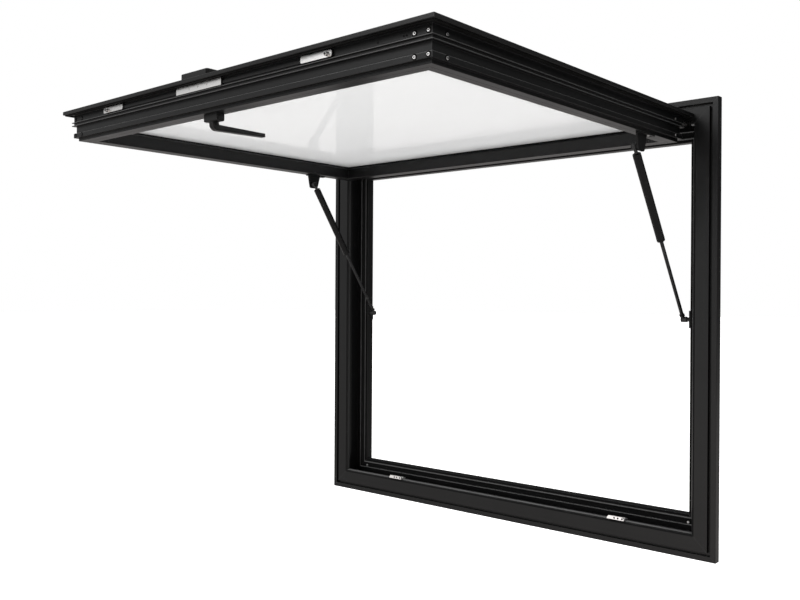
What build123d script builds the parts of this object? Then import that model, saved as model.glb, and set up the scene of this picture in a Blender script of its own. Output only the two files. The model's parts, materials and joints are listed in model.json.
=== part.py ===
"""Top-hung awning window held open by two gas struts, shown swung out to the level.

Axes: X along the sill, Y into the wall, Z up.  The origin is on the back face of the sill's
outer rim, the face that rests on the wall.  Lengths are in millimetres.

Pieces are drawn from the rim's front plane (back is +Y) and the frame's foot (up is +Z).  Pieces of
the sash are drawn shut and then turned about the hinge line to the open place.
"""
import os
from math import atan2, degrees, hypot

from build123d import *

# overall frame
FRAME_W = 1180.0
FRAME_H = 1016.0
FRAME_DEPTH = 78.0
RIM_DEPTH = 20.0
RIM_LAP = 26.0
ORIGIN_UP = 7.5

# frame section, measured in from the outer edge
RIM_FACE = 12.0
GROOVE_W = 7.0
GROOVE_DEEP = 8.0
NOSE_IN = 57.0
NOSE_DROP = 4.0
NOSE_R = 5.0
NOSE_BACK = 8.0
NOSE_LAND = 8.0
FLOOR_IN = 46.0
STOP_IN = 84.5
STOP_FRONT = 57.0
LIP_IN = 62.0
LIP_W = 2.0
LIP_DEEP = 3.0
LIP_R = 0.9
STOP_R = 2.0
STOP_SEAL_W = 7.0
STOP_SEAL_T = 3.0
STOP_SEAL_IN = 73.0
EDGE_R = 0.5

# sash section, measured in from the flange's edge and back from the outer face
SASH_INSET = 55.0
SASH_DEPTH = 65.0
SASH_PROUD = 16.0
FLANGE_T = 8.0
FLANGE_R = 1.2
WALL_IN = 17.6
CHANNEL_BACK = 24.0
FIN_T = 2.0
FIN_OUT = 3.8
FIN_GAP = 5.0
WAIST_IN = 21.5
FOOT_FRONT = 48.0
FOOT_T = 10.5
FOOT_IN = 17.1
FOOT_R = 2.0
FIN_R = 0.8
INNER_IN = 25.0
REBATE_IN = 40.0
SIGHT_IN = 57.0
LIP_T = 6.0
FLANGE_SEAL_W = 5.0
FLANGE_SEAL_T = 2.0
FLANGE_SEAL_IN = 3.5

# glass unit and its seals
GLASS_EDGE = 44.0
PANE_T = 5.0
AIR_GAP = 12.0
SPACER_W = 7.0
OUTER_SEAL_T = 2.2
INNER_SEAL_T = 3.0
GLAZING_SEAL_W = 7.0
BEAD_SLOPE = 5.0
BEAD_R = 2.5
SPACER_IN = 2.0
OUTER_SEAL_BACK = 1.0

# hinge line, back from the rim's front and down from the head's outer edge
HINGE_BACK = 3.0
HINGE_DROP = 50.0
HINGE_END = 70.0
KNUCKLE_R = 4.5
KNUCKLES = 13
KNUCKLE_GAP = 0.6
BARREL_ROOM = 0.9
HINGE_PIN_R = 2.5
PIN_SNUG = 0.02
PIN_ROOM = 0.3
LEAF_T = 2.5
HEAD_LEAF_W = 27.0
SASH_LEAF_W = 11.0
SASH_LEAF_BACK = 6.5
NOTCH_ROOM = 8.0

# gas struts
TUBE_R = 9.0
TUBE_LEN = 214.0
TUBE_EDGE_R = 1.8
ROD_R = 4.0
ROD_ROOM = 0.3
ROD_CATCH = 15.0
BORE_CAP = 8.0
EYE_R = 6.5
EYE_T = 8.0
NECK_R = 3.8
TUBE_NECK = 16.0
ROD_NECK = 13.0
STUD_R = 3.0
STUD_HEAD_R = 5.0
STUD_HEAD_T = 2.0
STRUT_GAP = 10.0
STRUT_CLEAR = 5.5
FOOT_DROP = 438.0
HEAD_DROP = 74.0
HEAD_REACH = 188.0
EAR_ROOM = 0.3
EAR_T = 3.5
EAR_FORE = 7.0
EAR_AFT = 20.0
EAR_PAST = 9.5
EAR_ROUND = 5.6
EAR_HEEL_R = 8.0
PLATE_T = 2.5
PLATE_W = 13.0
PLATE_FORE = 14.0
PLATE_AFT = 52.0
PLATE_R = 4.0
PLATE_HOLE_R = 2.6
PLATE_HOLE_END = 11.0
EAR_BASE_AFT = 30.0
JAMB_PLATE_T = 3.0
JAMB_PLATE_LEN = 40.0
JAMB_PLATE_EDGE = 0.5

# lock on the bottom rail and keepers on the sill
LOCK_X = -48.0
LOCK_LEN = 140.0
LOCK_PLATE_W = 14.3
LOCK_PLATE_T = 2.0
LOCK_STANDS = 5.2
LOCK_WALL = 2.0
DIMPLE_R = 2.0
DIMPLE_DEEP = 0.8
DIMPLE_STEP = 28.0
BAR_W = 5.6
BAR_T = 2.0
BAR_ROOM = 0.3
BAR_TAIL = 30.0
CAM_PLATE_END = (187.5, 261.0)
CAM_PLATE_LEN = 74.0
CAM_PLATE_W = 12.0
CAM_PLATE_T = 2.5
CAM_PLATE_R = 3.0
ROLLER_SHIFT = (-20.0, 28.0)
ROLLER_R = 3.5
ROLLER_LEN = 6.3
ROLLER_BACK = 17.5
ROLLER_EDGE = 0.7
KEEPER_SHIFT = (11.0, 80.0)
KEEPER_LEN = 43.0
KEEPER_T = 3.0
KEEPER_LIP_T = 2.4
KEEPER_LIP_UP = 8.0
KEEPER_FRONT = 5.4
KEEPER_SLOPE = 4.0

# pull on the outer face and handle on the inner face
PULL_X = -89.0
PULL_LEN = 80.0
PULL_W = 30.0
PULL_T = 12.0
PULL_NOSE = 4.0
PULL_TAPER = 4.0
PULL_IN = 4.0
PULL_R = 2.0
HANDLE_X = -40.0
HANDLE_IN = 44.0
BASE_LEN = 40.0
BASE_W = 18.0
BASE_T = 14.0
BASE_R = 3.0
HANDLE_ROOM = 0.3
LEVER_W = 14.0
LEVER_T = 12.0
LEVER_TIP_T = 7.5
LEVER_LEN = 121.0
LEVER_STANDS = 30.5
LEVER_RISE = 3.9
LEVER_R = 1.8
ELBOW_R = 12.0
CROOK_R = 2.4
COLLAR_R = 8.5
COLLAR_T = 3.0

HALF_W = FRAME_W / 2
SASH_W = FRAME_W - 2 * SASH_INSET
SASH_H = FRAME_H - 2 * SASH_INSET
SASH_INNER = SASH_DEPTH - SASH_PROUD
HINGE_UP = FRAME_H - HINGE_DROP
HINGE_LEN = FRAME_W - 2 * HINGE_END
JAMB_X = HALF_W - STOP_IN
STRUT_X = JAMB_X - STRUT_GAP - TUBE_R
FOOT_BACK = SASH_INNER + TUBE_R + STRUT_CLEAR
FOOT_UP = HINGE_UP - FOOT_DROP
WALL_UP = SASH_INSET + WALL_IN

OUT = "parts"
os.makedirs(OUT, exist_ok=True)


def settle(shape):
    """Move a shape from rim-front and foot measures to the part's own origin."""
    return Pos(0, -RIM_DEPTH, -ORIGIN_UP) * shape


def swing_open(shape):
    """Turn a piece drawn in the shut sash about the hinge line to the open, level place."""
    return Pos(0, HINGE_BACK, HINGE_UP) * Rot(-90, 0, 0) * Pos(0, -HINGE_BACK, -HINGE_UP) * shape


def save(name, shape):
    """Write one piece to its own file."""
    solid = shape.solids()[0]
    solid.label = name
    export_step(solid, os.path.join(OUT, name + ".step"))


def save_frame(name, shape):
    """Write a piece that stays with the frame."""
    save(name, settle(shape))


def save_sash(name, shape):
    """Write a piece drawn in the shut sash."""
    save(name, settle(swing_open(shape)))


def box(x0, x1, y0, y1, z0, z1):
    """A plain block between two corners."""
    return Pos((x0 + x1) / 2, (y0 + y1) / 2, (z0 + z1) / 2) * Box(x1 - x0, y1 - y0, z1 - z0)


def section(points, round_off=None):
    """A closed section with every corner eased, and the corners in round_off rounded by their own radius."""
    round_off = round_off or {}
    face = make_face(Polyline(*points, close=True))
    for spot in points:
        corner = face.vertices().sort_by_distance((spot[0], spot[1], 0))[0]
        face = fillet(corner, round_off.get(spot, EDGE_R))
    return face


def prism_x(face, x0, x1):
    """A section of (back, up) points run along X from x0 to x1."""
    return Pos(x0, 0, 0) * extrude(Plane.YZ * face, amount=x1 - x0)


def rod_x(x0, x1, y, z, r):
    """A round bar along X."""
    return Pos((x0 + x1) / 2, y, z) * Rot(0, 90, 0) * Cylinder(r, x1 - x0)


def mitred(face, length, deep):
    """A section of (back, in) points run along X with both ends cut at 45 degrees."""
    half = length / 2
    ends = Polyline((-half, 0), (half, 0), (half - deep, deep), (deep - half, deep), close=True)
    wedge = extrude(Plane.XZ * make_face(ends), amount=FRAME_DEPTH * 3, both=True)
    return prism_x(face, -half, half) & wedge


def four_sides(face, width, height, foot, deep):
    """The four mitred sides of a rectangle: bottom, top, left and right."""
    level = mitred(face, width, deep)
    upright = mitred(face, height, deep)
    mid = foot + height / 2
    return {
        "bottom": Pos(0, 0, foot) * level,
        "top": Pos(0, 0, foot + height) * Rot(0, 180, 0) * level,
        "left": Pos(-width / 2, 0, mid) * Rot(0, 90, 0) * upright,
        "right": Pos(width / 2, 0, mid) * Rot(0, -90, 0) * upright,
    }


def ring(inset, band, y0, y1):
    """A flat ring of the given band width, inset from the frame's outer edge."""
    near = inset + band
    outer = box(inset - HALF_W, HALF_W - inset, y0, y1, inset, FRAME_H - inset)
    return outer - box(near - HALF_W, HALF_W - near, y0 - 1, y1 + 1, near, FRAME_H - near)


def sash_ring(inset, band, d0, d1):
    """A ring that follows the sash, inset from its flange edge and set back from its outer face."""
    return ring(SASH_INSET + inset, band, d0 - SASH_PROUD, d1 - SASH_PROUD)


# frame: rim, shadow groove, face, rounded nose, drained floor and the inner stop with its lip
groove_in = RIM_FACE + GROOVE_W
nose_corner = (0, NOSE_IN - NOSE_DROP)
nose_end = NOSE_BACK + NOSE_LAND
lip_back = STOP_FRONT - LIP_DEEP
lip_front = lip_back - LIP_DEEP
lip_tip = (lip_front, LIP_IN)
frame_section = section(
    [
        (0, 0), (0, RIM_FACE), (GROOVE_DEEP, RIM_FACE), (GROOVE_DEEP, groove_in), (0, groove_in),
        nose_corner, (NOSE_BACK, NOSE_IN), (nose_end, NOSE_IN), (nose_end, FLOOR_IN), (lip_back, FLOOR_IN),
        (lip_back, LIP_IN - LIP_W), (lip_front, LIP_IN - LIP_W), lip_tip, (STOP_FRONT, LIP_IN),
        (STOP_FRONT, STOP_IN), (FRAME_DEPTH, STOP_IN), (FRAME_DEPTH, RIM_LAP), (RIM_DEPTH, RIM_LAP),
        (RIM_DEPTH, 0),
    ],
    {nose_corner: NOSE_R, lip_tip: LIP_R, (STOP_FRONT, STOP_IN): STOP_R},
)
frame = four_sides(frame_section, FRAME_W, FRAME_H, 0, STOP_IN)

# the head's nose is cut back where the hinge runs
notch_half = HINGE_LEN / 2 + NOTCH_ROOM
notch_up = HINGE_UP + KNUCKLE_R
notch_back = HINGE_BACK + HEAD_LEAF_W + NOTCH_ROOM
notch = box(-notch_half, notch_half, -NOTCH_ROOM, notch_back, FRAME_H - STOP_IN, notch_up)
save_frame("frame_head", frame["top"] - notch)
save_frame("frame_sill", frame["bottom"])
save_frame("frame_left_jamb", frame["left"])
save_frame("frame_right_jamb", frame["right"])
save_frame("stop_seal", ring(STOP_SEAL_IN, STOP_SEAL_W, STOP_FRONT - STOP_SEAL_T, STOP_FRONT))

# hinge: knuckles take turns between the head's leaf and the sash's leaf
hinge_half = HINGE_LEN / 2
wall_top = FRAME_H - WALL_UP
head_leaf = box(-hinge_half, hinge_half, HINGE_BACK, HINGE_BACK + HEAD_LEAF_W, notch_up - LEAF_T, notch_up)
web = (HINGE_BACK - LEAF_T / 2, HINGE_BACK + LEAF_T / 2)
sash_leaf = box(-hinge_half, hinge_half, web[0], web[1], wall_top, HINGE_UP)
leaf_front = SASH_LEAF_BACK - SASH_LEAF_W
sash_leaf += box(-hinge_half, hinge_half, leaf_front, SASH_LEAF_BACK, wall_top, wall_top + LEAF_T)
step = HINGE_LEN / KNUCKLES
for i in range(KNUCKLES):
    x0 = i * step - hinge_half
    x1 = x0 + step
    knuckle = rod_x(x0 + KNUCKLE_GAP / 2, x1 - KNUCKLE_GAP / 2, HINGE_BACK, HINGE_UP, KNUCKLE_R)
    room = rod_x(x0 - KNUCKLE_GAP / 2, x1 + KNUCKLE_GAP / 2, HINGE_BACK, HINGE_UP, KNUCKLE_R + BARREL_ROOM)
    if i % 2:
        sash_leaf += knuckle
        head_leaf -= room
    else:
        head_leaf += knuckle
        sash_leaf -= room
head_leaf -= rod_x(-HALF_W, HALF_W, HINGE_BACK, HINGE_UP, HINGE_PIN_R + PIN_SNUG)
sash_leaf -= rod_x(-HALF_W, HALF_W, HINGE_BACK, HINGE_UP, HINGE_PIN_R + PIN_ROOM)
save_frame("head_leaf", head_leaf)
save_frame("hinge_pin", rod_x(-hinge_half, hinge_half, HINGE_BACK, HINGE_UP, HINGE_PIN_R))
save_sash("sash_leaf", sash_leaf)

# sash: flange, lock channel with two fins, waist, foot and glazing rebate
fin_in = WALL_IN - FIN_OUT
fin1 = CHANNEL_BACK
fin2 = fin1 + FIN_T + FIN_GAP
foot_back = FOOT_FRONT + FOOT_T
flange_tip = (0, 0)
flange_back = (FLANGE_T, 0)
rounded = {flange_tip: FLANGE_R, flange_back: FLANGE_R, (FOOT_FRONT, FOOT_IN): FOOT_R}
for fin in (fin1, fin2):
    rounded[(fin, fin_in)] = FIN_R
    rounded[(fin + FIN_T, fin_in)] = FIN_R
sash_section = section(
    [
        flange_tip, (0, SIGHT_IN), (LIP_T, SIGHT_IN), (LIP_T, REBATE_IN), (SASH_DEPTH, REBATE_IN),
        (SASH_DEPTH, INNER_IN), (foot_back, INNER_IN), (foot_back, FOOT_IN), (FOOT_FRONT, FOOT_IN),
        (FOOT_FRONT, WAIST_IN), (fin2 + FIN_T, WAIST_IN), (fin2 + FIN_T, fin_in), (fin2, fin_in),
        (fin2, WALL_IN), (fin1 + FIN_T, WALL_IN), (fin1 + FIN_T, fin_in), (fin1, fin_in), (fin1, WALL_IN),
        (FLANGE_T, WALL_IN), flange_back,
    ],
    rounded,
)
glass_front = LIP_T + OUTER_SEAL_T
inner_front = glass_front + PANE_T + AIR_GAP
unit_back = inner_front + PANE_T
bead_front = unit_back + INNER_SEAL_T
bead_section = section(
    [
        (bead_front, REBATE_IN), (bead_front, SIGHT_IN - BEAD_SLOPE), (bead_front + BEAD_SLOPE, SIGHT_IN),
        (SASH_DEPTH, SIGHT_IN), (SASH_DEPTH, REBATE_IN),
    ],
    {(SASH_DEPTH, SIGHT_IN): BEAD_R},
)
bar_names = {"bottom": "bottom_rail", "top": "hinge_rail", "left": "left_stile", "right": "right_stile"}
for kind, face in (("sash_", sash_section), ("bead_", bead_section)):
    for side, bar in four_sides(face, SASH_W, SASH_H, SASH_INSET, SIGHT_IN).items():
        save_sash(kind + bar_names[side], Pos(0, -SASH_PROUD, 0) * bar)

save_sash("flange_seal", sash_ring(FLANGE_SEAL_IN, FLANGE_SEAL_W, FLANGE_T, FLANGE_T + FLANGE_SEAL_T))
outer_seal_in = SIGHT_IN - GLAZING_SEAL_W - OUTER_SEAL_BACK
save_sash("outer_glazing_seal", sash_ring(outer_seal_in, GLAZING_SEAL_W, LIP_T, glass_front))
save_sash("inner_glazing_seal", sash_ring(GLASS_EDGE, GLAZING_SEAL_W, unit_back, bead_front))
save_sash("glass_spacer", sash_ring(GLASS_EDGE + SPACER_IN, SPACER_W, glass_front + PANE_T, inner_front))
edge = SASH_INSET + GLASS_EDGE
for name, front in (("outer_pane", glass_front), ("inner_pane", inner_front)):
    y0 = front - SASH_PROUD
    save_sash(name, box(edge - HALF_W, HALF_W - edge, y0, y0 + PANE_T, edge, FRAME_H - edge))

# lock: a capped faceplate over a sliding bar, and two roller plates carried on the bar
channel_mid = (FLANGE_T + CHANNEL_BACK) / 2 - SASH_PROUD
plate_y0 = channel_mid - LOCK_PLATE_W / 2
plate_y1 = channel_mid + LOCK_PLATE_W / 2
lock_x0 = LOCK_X - LOCK_LEN / 2
lock_x1 = LOCK_X + LOCK_LEN / 2
faceplate = box(lock_x0, lock_x1, plate_y0, plate_y1, WALL_UP - LOCK_STANDS, WALL_UP)
hollow_up = WALL_UP - LOCK_STANDS + LOCK_PLATE_T
hollow = box(lock_x0 - 1, lock_x1 + 1, plate_y0 + LOCK_WALL, plate_y1 - LOCK_WALL, hollow_up, WALL_UP + 1)
faceplate -= hollow
for i in (-1, 0, 1):
    dimple = Cylinder(DIMPLE_R, DIMPLE_DEEP * 2)
    faceplate -= Pos(LOCK_X + i * DIMPLE_STEP, channel_mid, WALL_UP - LOCK_STANDS) * dimple
save_sash("lock_faceplate", faceplate)

roller_y = ROLLER_BACK - SASH_PROUD
bar_up = WALL_UP - BAR_ROOM
bar_down = bar_up - BAR_T
cam_x = (CAM_PLATE_END[0] - SASH_W / 2, SASH_W / 2 - CAM_PLATE_END[1])
bar_x0 = cam_x[0] - BAR_TAIL
bar_x1 = cam_x[1] + BAR_TAIL
save_sash("lock_bar", box(bar_x0, bar_x1, roller_y - BAR_W / 2, roller_y + BAR_W / 2, bar_down, bar_up))
plate_down = bar_down - CAM_PLATE_T
for side, plate_x, shift in zip(("left", "right"), cam_x, ROLLER_SHIFT):
    plate = Box(CAM_PLATE_LEN, CAM_PLATE_W, CAM_PLATE_T)
    plate = Pos(plate_x, channel_mid, bar_down - CAM_PLATE_T / 2) * plate
    save_sash(side + "_cam_plate", fillet(plate.edges().filter_by(Axis.Z), CAM_PLATE_R))
    roller = Pos(plate_x + shift, roller_y, plate_down - ROLLER_LEN / 2) * Cylinder(ROLLER_R, ROLLER_LEN)
    roller_rim = roller.edges().filter_by(GeomType.CIRCLE).sort_by(Axis.Z)[0]
    save_sash(side + "_roller", chamfer(roller_rim, ROLLER_EDGE))

# keepers: a plate on the nose with a lip that the roller slides behind
lip_y = KEEPER_LIP_T - KEEPER_FRONT
for side, plate_x, shift in zip(("left", "right"), cam_x, KEEPER_SHIFT):
    x0 = plate_x + shift - KEEPER_LEN / 2
    x1 = x0 + KEEPER_LEN
    lip = Polyline(
        (x0, NOSE_IN), (x1, NOSE_IN), (x1, NOSE_IN + KEEPER_T), (x1 - KEEPER_SLOPE, NOSE_IN + KEEPER_LIP_UP),
        (x0 + KEEPER_SLOPE, NOSE_IN + KEEPER_LIP_UP), (x0, NOSE_IN + KEEPER_T), close=True,
    )
    keeper = Pos(0, lip_y, 0) * extrude(Plane.XZ * make_face(lip), amount=KEEPER_LIP_T)
    keeper += box(x0, x1, lip_y, nose_end, NOSE_IN, NOSE_IN + KEEPER_T)
    save_frame(side + "_keeper", keeper)

# pull on the outer face of the bottom rail, square at one end and with its corners cut at the other
pull_x1 = PULL_X + PULL_LEN
pull_up = SASH_INSET + PULL_IN
pull_shape = Polyline(
    (PULL_X, pull_up), (pull_x1 - PULL_NOSE, pull_up), (pull_x1, pull_up + PULL_TAPER),
    (pull_x1, pull_up + PULL_W - PULL_TAPER), (pull_x1 - PULL_NOSE, pull_up + PULL_W),
    (PULL_X, pull_up + PULL_W), close=True,
)
pull = Pos(0, -SASH_PROUD, 0) * extrude(Plane.XZ * make_face(pull_shape), amount=PULL_T)
save_sash("outer_pull", fillet(pull.faces().sort_by(Axis.Y)[0].edges(), PULL_R))

# handle: block on the inner face, bent lever on a turning neck
grip_up = SASH_INSET + HANDLE_IN
base_back = SASH_INNER + BASE_T
base = Pos(HANDLE_X, SASH_INNER + BASE_T / 2, grip_up) * Box(BASE_LEN, BASE_T, BASE_W)
save_sash("handle_base", fillet(base.faces().sort_by(Axis.Y)[-1].edges(), BASE_R))
neck_front = base_back + HANDLE_ROOM
lever_back = SASH_INNER + LEVER_STANDS
tip_back = lever_back - LEVER_RISE
half = LEVER_W / 2
elbow = (lever_back, grip_up - half)
crook = (lever_back - LEVER_T, grip_up + half)
lever_face = section(
    [
        (neck_front, grip_up - half), elbow, (tip_back, grip_up + LEVER_LEN),
        (tip_back - LEVER_TIP_T, grip_up + LEVER_LEN), crook, (neck_front, grip_up + half),
    ],
    {elbow: ELBOW_R, crook: CROOK_R},
)
lever = prism_x(lever_face, HANDLE_X - half, HANDLE_X + half)
lever_rims = lever.faces().filter_by(Axis.X).edges()
lever = fillet(lever_rims.filter_by(lambda e: e.center().Y > neck_front + 1), LEVER_R)
collar = Pos(HANDLE_X, neck_front + COLLAR_T / 2, grip_up) * Rot(90, 0, 0) * Cylinder(COLLAR_R, COLLAR_T)
save_sash("handle_lever", lever + collar)

# gas struts: the tube's eye turns on a stud of the sash bracket, the rod's eye meets the jamb bracket
head_y = HINGE_BACK - HEAD_REACH
head_z = HINGE_UP - HEAD_DROP
strut_len = hypot(head_y - FOOT_BACK, head_z - FOOT_UP)
lean = degrees(atan2(FOOT_BACK - head_y, head_z - FOOT_UP))
shut_y = HINGE_BACK + HEAD_DROP
shut_z = HINGE_UP - HEAD_REACH
ear_in = STRUT_X + TUBE_R + EAR_ROOM


def up_bar(z0, z1, r):
    """A round bar up the Z axis."""
    return Pos(0, 0, (z0 + z1) / 2) * Cylinder(r, z1 - z0)


def along_strut(shape):
    """Stand a piece drawn up the Z axis from the foot eye on the strut's own line."""
    return Pos(STRUT_X, FOOT_BACK, FOOT_UP) * Rot(lean, 0, 0) * shape


tube_foot = strut_len - TUBE_NECK - TUBE_LEN
tube = up_bar(tube_foot, tube_foot + TUBE_LEN, TUBE_R)
tube = fillet(tube.edges().filter_by(GeomType.CIRCLE), TUBE_EDGE_R)
tube -= up_bar(tube_foot - 1, tube_foot + TUBE_LEN - BORE_CAP, ROD_R + ROD_ROOM)
rod = up_bar(ROD_NECK, tube_foot + ROD_CATCH, ROD_R)
eye_half = EYE_T / 2
rod_eye = rod_x(-eye_half, TUBE_R, 0, 0, EYE_R) + up_bar(0, ROD_NECK, NECK_R)
tube_eye = rod_x(-eye_half, eye_half, 0, strut_len, EYE_R)
tube_eye += up_bar(strut_len - TUBE_NECK, strut_len, NECK_R)
tube_eye -= rod_x(-EYE_T, EYE_T, 0, strut_len, STUD_R + PIN_ROOM)

jamb_face = JAMB_X - JAMB_PLATE_T
jamb_bracket = box(
    jamb_face, JAMB_X, STOP_FRONT + JAMB_PLATE_EDGE, FRAME_DEPTH - JAMB_PLATE_EDGE,
    FOOT_UP - JAMB_PLATE_LEN / 2, FOOT_UP + JAMB_PLATE_LEN / 2,
)
jamb_bracket += rod_x(ear_in, jamb_face, FOOT_BACK, FOOT_UP, STUD_HEAD_R)

plate_back = SASH_INNER + PLATE_T
ear_top = shut_y + EAR_PAST
ear_corners = ((ear_top, shut_z - EAR_FORE), (ear_top, shut_z + EAR_AFT))
ear_face = section(
    [
        (SASH_INNER, shut_z - PLATE_FORE), (plate_back, shut_z - PLATE_FORE), ear_corners[0],
        ear_corners[1], (plate_back, shut_z + EAR_BASE_AFT), (SASH_INNER, shut_z + EAR_BASE_AFT),
    ],
    {ear_corners[0]: EAR_ROUND, ear_corners[1]: EAR_HEEL_R},
)
plate_out = ear_in + PLATE_W
plate_end = shut_z + PLATE_AFT
base_plate = box(ear_in, plate_out, SASH_INNER, plate_back, shut_z - PLATE_FORE, plate_end)
base_plate = fillet(base_plate.edges().filter_by(Axis.Y), PLATE_R)
hole_at = Pos((ear_in + plate_out) / 2, plate_back, plate_end - PLATE_HOLE_END)
base_plate -= hole_at * Rot(90, 0, 0) * Cylinder(PLATE_HOLE_R, PLATE_T * 4)
sash_bracket = prism_x(ear_face, ear_in, ear_in + EAR_T) + base_plate
stud_in = STRUT_X - eye_half - EAR_ROOM
sash_bracket += rod_x(stud_in - STUD_HEAD_T, ear_in, shut_y, shut_z, STUD_R)
sash_bracket += rod_x(stud_in - STUD_HEAD_T, stud_in, shut_y, shut_z, STUD_HEAD_R)
sash_bracket += rod_x(STRUT_X + eye_half + EAR_ROOM, ear_in, shut_y, shut_z, STUD_HEAD_R)
right_pieces = {
    "strut_rod": along_strut(rod),
    "rod_eye": along_strut(rod_eye),
    "strut_tube": along_strut(tube),
    "tube_eye": along_strut(tube_eye),
    "jamb_bracket": jamb_bracket,
    "sash_bracket": swing_open(sash_bracket),
}
for name, piece in right_pieces.items():
    placed = settle(piece)
    save("right_" + name, placed)
    save("left_" + name, mirror(placed, about=Plane.YZ))
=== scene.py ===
"""Finishes, fixings, studio and camera for the top-hung window with two gas struts.

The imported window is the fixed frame.  Each sub-assembly dresses its own pieces and adds the small
fixings that the solids leave out.  Lengths are in metres: X along the sill, Y into the wall, Z up.
"""
import json
import logging
import math
from dataclasses import dataclass, field
from enum import Enum

import bmesh
import bpy
from mathutils import Matrix, Vector


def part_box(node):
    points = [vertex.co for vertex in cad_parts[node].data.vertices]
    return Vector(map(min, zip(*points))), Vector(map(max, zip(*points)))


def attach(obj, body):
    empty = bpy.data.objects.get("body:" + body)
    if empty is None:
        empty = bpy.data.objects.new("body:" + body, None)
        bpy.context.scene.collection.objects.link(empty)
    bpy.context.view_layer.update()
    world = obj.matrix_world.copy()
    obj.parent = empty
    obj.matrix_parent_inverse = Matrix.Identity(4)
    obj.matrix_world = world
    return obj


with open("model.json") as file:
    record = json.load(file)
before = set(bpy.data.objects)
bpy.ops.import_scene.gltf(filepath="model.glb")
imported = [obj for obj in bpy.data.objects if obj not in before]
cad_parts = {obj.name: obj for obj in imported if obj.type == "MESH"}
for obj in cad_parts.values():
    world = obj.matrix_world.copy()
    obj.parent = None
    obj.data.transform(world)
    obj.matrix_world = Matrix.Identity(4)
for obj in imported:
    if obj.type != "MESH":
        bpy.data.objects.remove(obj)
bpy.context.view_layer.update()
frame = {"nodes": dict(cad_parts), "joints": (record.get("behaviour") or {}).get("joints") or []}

LOG = logging.getLogger("window")
SIDES = ("left", "right")
INWARD = {"left": 1, "right": -1}
BOTH_WAYS = (-1, 1)
BAR_NAMES = ("bottom_rail", "hinge_rail", "left_stile", "right_stile")
UP = Vector((0, 0, 1))
DOWN = Vector((0, 0, -1))
FRONT = Vector((0, -1, 0))
BACK = Vector((0, 1, 0))
Colour = tuple[float, float, float, float]
Outline = list[tuple[float, float]]


def grey(level: float, warmth: float = 0.0) -> Colour:
    """A grey of the given linear level, tipped towards red by warmth or towards blue below zero."""
    return (level * (1.0 + warmth), level, level * (1.0 - warmth), 1.0)


@dataclass(frozen=True)
class Signal:
    """A value socket that takes part in Python arithmetic."""

    graph: "Graph"
    socket: bpy.types.NodeSocket

    def __add__(self, other: "Signal | float") -> "Signal":
        """Sum of two values."""
        return self.graph.maths("ADD", self, other)

    __radd__ = __add__

    def __sub__(self, other: "Signal | float") -> "Signal":
        """This value less another."""
        return self.graph.maths("SUBTRACT", self, other)

    def __rsub__(self, other: float) -> "Signal":
        """A number less this value."""
        return self.graph.maths("SUBTRACT", other, self)

    def __mul__(self, other: "Signal | float") -> "Signal":
        """Product of two values."""
        return self.graph.maths("MULTIPLY", self, other)

    __rmul__ = __mul__

    def __abs__(self) -> "Signal":
        """Size of this value without its sign."""
        return self.graph.maths("ABSOLUTE", self)

    def least(self, other: "Signal | float") -> "Signal":
        """The smaller of two values."""
        return self.graph.maths("MINIMUM", self, other)

    def most(self, other: "Signal | float") -> "Signal":
        """The larger of two values."""
        return self.graph.maths("MAXIMUM", self, other)

    def ease(self, low: float, high: float) -> "Signal":
        """A soft step.

        Args:
            low: where it starts, at 0.
            high: where it ends, at 1.

        Returns:
            The step's value.
        """
        settings = {"interpolation_type": "SMOOTHSTEP"}
        sockets = {"Value": self, "From Min": low, "From Max": high}
        return self.graph.value("ShaderNodeMapRange", settings, sockets, "Result")

    def within(self, low: float, high: float, soft: float) -> "Signal":
        """A band of 1 from low to high that fades out over soft on both sides."""
        return self.ease(low - soft, low) * (1.0 - self.ease(high, high + soft))


class Graph:
    """A node tree with one way to add a node, and arithmetic on its values."""

    def __init__(self, tree: bpy.types.NodeTree) -> None:
        """Keep the tree that nodes are added to.

        Args:
            tree: an empty node tree.
        """
        self.tree = tree

    @staticmethod
    def pick(sockets: bpy.types.bpy_prop_collection, key: str | int) -> bpy.types.NodeSocket:
        """Find the socket in use under a name or a position.

        Args:
            sockets: a node's inputs or outputs.
            key: the socket's name, or its place in the list.

        Returns:
            The socket.
        """
        if isinstance(key, int):
            return sockets[key]
        return next(s for s in sockets if s.name == key and s.enabled)

    def node(self, kind: str, settings: dict | None = None, sockets: dict | None = None) -> bpy.types.Node:
        """Add a node.

        Args:
            kind: the node's type.
            settings: its properties, set first.
            sockets: values or links for its inputs.

        Returns:
            The new node.
        """
        made = self.tree.nodes.new(kind)
        for key, value in (settings or {}).items():
            setattr(made, key, value)
        for key, value in (sockets or {}).items():
            target = self.pick(made.inputs, key)
            if isinstance(value, Signal):
                self.tree.links.new(value.socket, target)
            elif isinstance(value, bpy.types.NodeSocket):
                self.tree.links.new(value, target)
            else:
                target.default_value = value
        return made

    def value(
        self, kind: str, settings: dict | None = None, sockets: dict | None = None, out: str | int = 0
    ) -> Signal:
        """Add a node and take one of its outputs as a signal."""
        return Signal(self, self.pick(self.node(kind, settings, sockets).outputs, out))

    def maths(self, operation: str, *values: "Signal | float") -> Signal:
        """Add a Math node on the given values."""
        return self.value("ShaderNodeMath", {"operation": operation}, dict(enumerate(values)))

    def blend(
        self, share: Signal, first: Colour | bpy.types.NodeSocket, second: Colour
    ) -> bpy.types.NodeSocket:
        """Mix two colours, or a colour into one already mixed.

        Args:
            share: how much of the second, from 0 to 1.
            first: the colour at 0.
            second: the colour at 1.

        Returns:
            The mixed colour.
        """
        sockets = {"Factor": share, "A": first, "B": second}
        mixed = self.node("ShaderNodeMix", {"data_type": "RGBA"}, sockets)
        return self.pick(mixed.outputs, "Result")


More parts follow.
